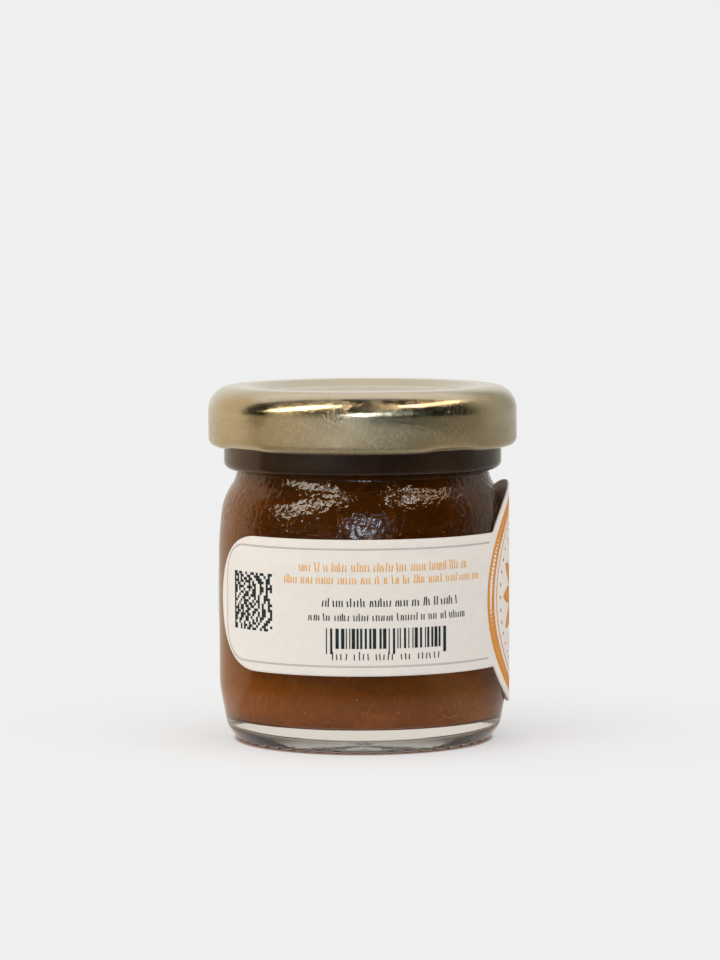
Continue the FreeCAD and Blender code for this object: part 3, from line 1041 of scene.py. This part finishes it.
# %% Label mesh
END_STEPS = 24
STRIP_STEPS = 80
ROUND_STEPS = 60
ROWS = 60
INK_PROUD = 0.02
paper_material, tree = new_finish("uncoated_label_paper")
corner = sqrt(round_radius**2 - strip_half**2)
end_centre = strip_tip - strip_half
columns = [end_centre + strip_half * sin(pi / 2 * k / END_STEPS) for k in range(1, END_STEPS + 1)]
columns += list(np.linspace(corner, end_centre, STRIP_STEPS))
columns += [corner * k / ROUND_STEPS for k in range(1, ROUND_STEPS)]
columns = sorted(set([-c for c in columns] + columns + [0.0]))
flat = [(c, half_height(c) * (2 * k / ROWS - 1)) for c in columns for k in range(ROWS + 1)]
faces = [
    (i * (ROWS + 1) + k, (i + 1) * (ROWS + 1) + k, (i + 1) * (ROWS + 1) + k + 1, i * (ROWS + 1) + k + 1)
    for i in range(len(columns) - 1)
    for k in range(ROWS)
]
paper_face = label_radius - INK_PROUD
label = thick("label_sheet", flat, faces, body_radius, paper_face, [paper_material], "label_paper")
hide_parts("label")

# %% [markdown]
# ### Uncoated label paper
# A soft white paper with no shine: its fibres show as a fine grain, and the pulp is
# faintly mottled. A little light passes through the thin sheet, so it is not quite dark
# from behind where it stands off the glass. The grain is drawn a quarter of a millimetre
# wide, coarser than real fibres, so that it shows.

# %% Paper finish
FIBRE = 0.25
MOTTLE = 1.6
PAPER_GLOW = 0.2
spot = add(tree, "TexCoord", output="Object")
felt = add(tree, "TexNoise", spot, Scale=1 / (FIBRE * MM), Detail=4.0, Roughness=0.7)
mottle = add(tree, "TexNoise", spot, Scale=1 / (MOTTLE * MM), Detail=3.0)
level = add(tree, "Math", felt, 0.5, mottle, operation="MULTIPLY_ADD")
level = add(tree, "MapRange", level, 0.5, 1.0, 0.975, 1.02)
tone = add(tree, "VectorMath", colour("#FCF6EE")[:3], Scale=level, operation="SCALE")
nap = add(tree, "Bump", Strength=0.35, Distance=0.02 * MM, Height=felt)
face = add(tree, "BsdfPrincipled", Base_Color=tone, Roughness=0.85, Specular_IOR_Level=0.2, Normal=nap)
cover(tree, add(tree, "MixShader", PAPER_GLOW, face, add(tree, "BsdfTranslucent", tone)))
print(f"uncoated label paper: grain of {FIBRE} mm, mottle of {MOTTLE} mm")

# %% [markdown]
# ### Printed shapes
# The print is plain shapes in two oranges, a blue black and a grey: a ruled border, rows
# of short strokes where small type would stand, a block of squares, a row of bars, and a
# round ornament. None of it says anything. A picture on the paper would blur close up;
# instead each shape is drawn flat, as distances along and up the label, and laid on the
# paper as a film of ink that stands two hundredths of a millimetre proud.

# %% Inks
FRONT = -label_radius * round_angle
FLAT_RUN = 0.9


def ink(name, code):
    """Offset ink on uncoated paper: matt, and a little uneven where the felt shows."""
    made, tree = new_finish(name)
    spot = add(tree, "TexCoord", output="Object")
    felt = add(tree, "TexNoise", spot, Scale=1 / (FIBRE * MM), Detail=3.0)
    level = add(tree, "MapRange", felt, 0.3, 0.7, 0.9, 1.12)
    tone = add(tree, "VectorMath", colour(code)[:3], Scale=level, operation="SCALE")
    cover(tree, add(tree, "BsdfPrincipled", Base_Color=tone, Roughness=0.7, Specular_IOR_Level=0.25))
    return made


# %% Bars and lines
def rectangle(left, bottom, width, height, slant=0.0):
    """Upright bar, leaning by slant; wide ones are cut so that they bend with the label."""
    cuts = max(1, round(width / FLAT_RUN))
    points = []
    for k in range(cuts + 1):
        x = left + width * k / cuts
        points += [(x, bottom), (x + slant * height, bottom + height)]
    return points, [(2 * k, 2 * k + 2, 2 * k + 3, 2 * k + 1) for k in range(cuts)]


def band(points, width):
    """Line of even width along points."""
    drawn = []
    for k, here in enumerate(points):
        before = np.array(points[max(k - 1, 0)])
        after = np.array(points[min(k + 1, len(points) - 1)])
        way = (after - before) / hypot(*(after - before))
        side = np.array((-way[1], way[0])) * width / 2
        drawn += [tuple(np.array(here) - side), tuple(np.array(here) + side)]
    return drawn, [(2 * k, 2 * k + 2, 2 * k + 3, 2 * k + 1) for k in range(len(points) - 1)]


def ring_band(radius, width, steps=144):
    """Closed ring about the round's centre."""
    inner, outer = radius - width / 2, radius + width / 2
    points = []
    for k in range(steps):
        at = tau * k / steps
        points += [(inner * cos(at), inner * sin(at)), (outer * cos(at), outer * sin(at))]
    faces = []
    for k in range(steps):
        j = (k + 1) % steps
        faces.append((2 * k, 2 * k + 1, 2 * j + 1, 2 * j))
    return points, faces


# %% Petals and dots
PETAL_FULLNESS = 0.8
PETAL_TIP = 0.03


def petal(towards, inner, outer, half_width, steps=10):
    """Pointed leaf from an inner to an outer radius."""
    points = []
    for k in range(steps + 1):
        share = k / steps
        out = inner + (outer - inner) * share
        half = half_width * sin(pi * share) ** PETAL_FULLNESS + PETAL_TIP
        for side in (-half, half):
            x = out * cos(towards) + side * sin(towards)
            y = out * sin(towards) - side * cos(towards)
            points.append((x, y))
    return points, [(2 * k + 1, 2 * k + 3, 2 * k + 2, 2 * k) for k in range(steps)]


def dot(x, y, radius, steps=12):
    """Small disc, as a fan of quads round its middle."""
    points = [(x, y)] + [
        (x + radius * cos(tau * k / steps), y + radius * sin(tau * k / steps)) for k in range(steps)
    ]
    return points, [(0, k, k + 1, k + 2 if k + 2 <= steps else 1) for k in range(1, steps, 2)]


# %% Rows of strokes, and print on paper
def row_of_strokes(left, right, base, height, weight, pitch):
    """Words of plain leaning strokes between two ends, where type would stand."""
    shapes = []
    x = left
    letters = random.randint(3, 8)
    while x < right - weight:
        if letters == 0:
            x += pitch * 1.1
            letters = random.randint(2, 9)
            continue
        tall = height * random.choice((0.68, 0.72, 0.72, 0.76, 1.0))
        shapes.append(rectangle(x, base, weight, tall, random.uniform(-0.12, 0.12)))
        x += pitch * random.choice((0.85, 1.0, 1.0, 1.2))
        letters -= 1
    return shapes


def printed(name, shapes, finish_used):
    """Flat ink shapes as one film on the paper."""
    points, faces = joined(shapes)
    return thick(name, points, faces, paper_face - 0.01, label_radius, [finish_used], "label_paper")


def from_front(shapes):
    """Shapes given as distance from the front of the jar and height above the table."""
    return [([(x + FRONT, z - label_mid) for x, z in points], faces) for points, faces in shapes]


def other_half(shapes):
    """The same shapes on the other side of the round ornament."""
    return [([(-x, y) for x, y in points], [face[::-1] for face in faces]) for points, faces in shapes]


# %% Ruled border
orange_ink = ink("orange_ink", "#ECAC4C")
deep_orange_ink = ink("deep_orange_ink", "#DC9444")
dark_ink = ink("blue_black_ink", "#1E2A2E")
grey_ink = ink("grey_rule_ink", "#C3BAB8")

RULE_LEFT, RULE_RIGHT, RULE_LOW, RULE_HIGH, RULE_TURN = -25.4, 22.2, 13.3, 30.35, 5.0
RULE_WIDTH = 0.26


def rule(left, right, low, high, turn):
    """Border round one end of the label, open towards the round ornament."""
    path = [(x, high) for x in np.arange(right, left + turn, -FLAT_RUN)]
    path += [(left + turn - turn * sin(t), high - turn + turn * cos(t)) for t in np.linspace(0, pi / 2, 14)]
    path += [(left + turn - turn * cos(t), low + turn - turn * sin(t)) for t in np.linspace(0, pi / 2, 14)]
    path += [(x, low) for x in np.arange(left + turn + FLAT_RUN, right, FLAT_RUN)]
    return path


border = band(rule(RULE_LEFT, RULE_RIGHT, RULE_LOW, RULE_HIGH, RULE_TURN), RULE_WIDTH)
front_rule = from_front([border])
printed("label_rule_front", front_rule, grey_ink)
printed("label_rule_back", other_half(front_rule), grey_ink)

# %% Rows of strokes
# Left end, right end, foot, height, stroke and pitch of each row.
ORANGE_ROWS = [(-9.6, 17.2, 27.1, 1.35, 0.17, 0.40), (-12.1, 19.7, 25.3, 1.25, 0.17, 0.40)]
DARK_ROWS = [
    (-6.1, 14.8, 22.0, 1.25, 0.19, 0.42),
    (-8.2, 16.3, 19.95, 1.1, 0.17, 0.38),
    (-4.6, 12.2, 14.25, 1.2, 0.16, 0.62),
]
random.seed(7)
orange_strokes = [stroke for row in ORANGE_ROWS for stroke in row_of_strokes(*row)]
printed("label_rows_orange", from_front(orange_strokes), orange_ink)
dark_strokes = [stroke for row in DARK_ROWS for stroke in row_of_strokes(*row)]
printed("label_rows_dark", from_front(dark_strokes), dark_ink)

# %% Row of bars
BARS_LEFT, BARS_RIGHT, BARS_TOP, BARS_LOW, BARS_GUARD = -5.5, 12.9, 18.85, 15.9, 15.1
MODULE = 0.33
LONG_BARS = (0, 1, 14, 15)
bars = []
x = BARS_LEFT
count = 0
while x < BARS_RIGHT:
    width = MODULE * random.choice((0.5, 1, 1, 1.5))
    low = BARS_GUARD if count in LONG_BARS or x > BARS_RIGHT - 2.2 * MODULE else BARS_LOW
    bars.append(rectangle(x, low, min(width, BARS_RIGHT - x), BARS_TOP - low))
    x += width + MODULE * random.choice((0.6, 1, 1.4))
    count += 1
printed("label_bars", from_front(bars), dark_ink)

# %% Block of squares
BLOCK_LEFT, BLOCK_LOW, BLOCK_CELLS, CELL = -22.8, 17.9, 21, 0.405
squares = []
for row in range(BLOCK_CELLS):
    column = 0
    while column < BLOCK_CELLS:
        run = random.choice((1, 1, 2, 2, 3))
        run = min(run, BLOCK_CELLS - column)
        squares.append(
            rectangle(BLOCK_LEFT + column * CELL, BLOCK_LOW + row * CELL, run * CELL, CELL * 0.97)
        )
        column += run + random.choice((1, 1, 2, 2))
printed("label_squares", from_front(squares), dark_ink)

# %% Round ornament
OUTER_RING = (14.4, 2.0)
FINE_RING = (12.5, 0.25)
EYE_RING = (1.2, 1.2)
PETALS = 12
PETAL = (2.2, 9.6, 1.25)
BEADS = 36
BEAD_CIRCLE = 11.0
BEAD_RADIUS = 0.28
ornament = [ring_band(*OUTER_RING), ring_band(*FINE_RING)]
ornament += [petal(tau * k / PETALS, *PETAL) for k in range(PETALS)]
for k in range(BEADS):
    at = tau * k / BEADS
    ornament.append(dot(BEAD_CIRCLE * cos(at), BEAD_CIRCLE * sin(at), BEAD_RADIUS))
ornament.append(ring_band(*EYE_RING, 48))
printed("label_ornament", ornament, deep_orange_ink)
